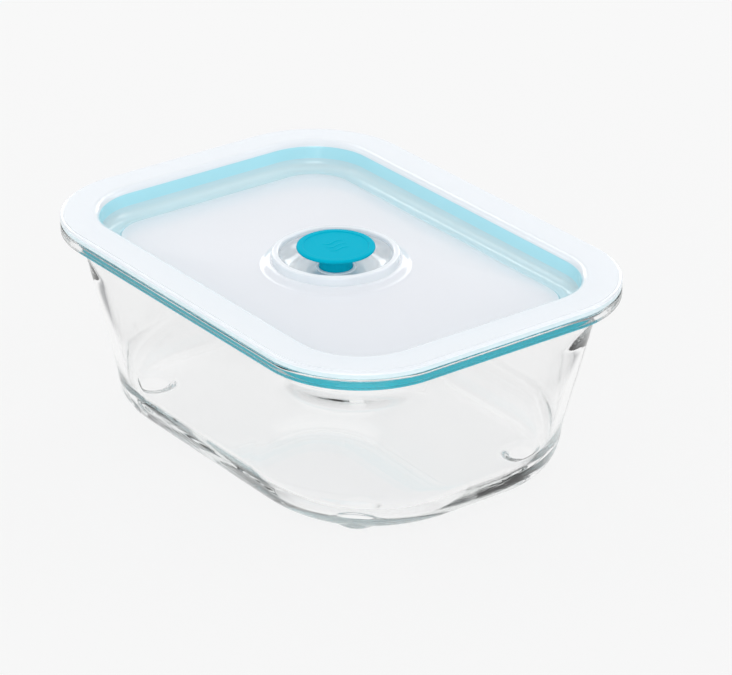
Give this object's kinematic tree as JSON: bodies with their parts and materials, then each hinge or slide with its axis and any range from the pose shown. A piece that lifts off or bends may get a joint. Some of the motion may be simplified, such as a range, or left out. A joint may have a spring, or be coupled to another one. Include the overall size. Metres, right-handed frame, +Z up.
{
  "type": "glass food storage container",
  "caption": "Rectangular clear glass food box with rounded corners, a recessed translucent plug-in lid, a soft seal ring and a push-button vent valve in a round well.",
  "frame": {"origin": "on the table under the middle of the bowl, at the level of the feet", "axes": "+X along the long side, +Y across the short side, +Z up through the vent valve"},
  "size_m": [0.216, 0.158, 0.082],
  "materials": {
    "bowl_glass": "clear pressed glass, fire-polished",
    "lid_plastic": "translucent milky polypropylene, frosted panel with glossy margin",
    "seal_silicone": "smooth turquoise silicone",
    "valve_silicone": "satin turquoise silicone"
  },
  "bodies": {
    "bowl": {"glass_bowl": "bowl_glass"},
    "lid": {"lid": "lid_plastic", "seal_ring": "seal_silicone"},
    "valve": {"vent_valve": "valve_silicone"}
  },
  "joints": [
    {"name": "lid_lift", "type": "slide", "parent": "bowl", "child": "lid", "axis": [0, 0, 1], "range_m": [0, 0.1]},
    {"name": "vent_press", "type": "slide", "parent": "lid", "child": "valve", "axis": [0, 0, 1], "range_m": [-0.005, 0]}
  ]
}
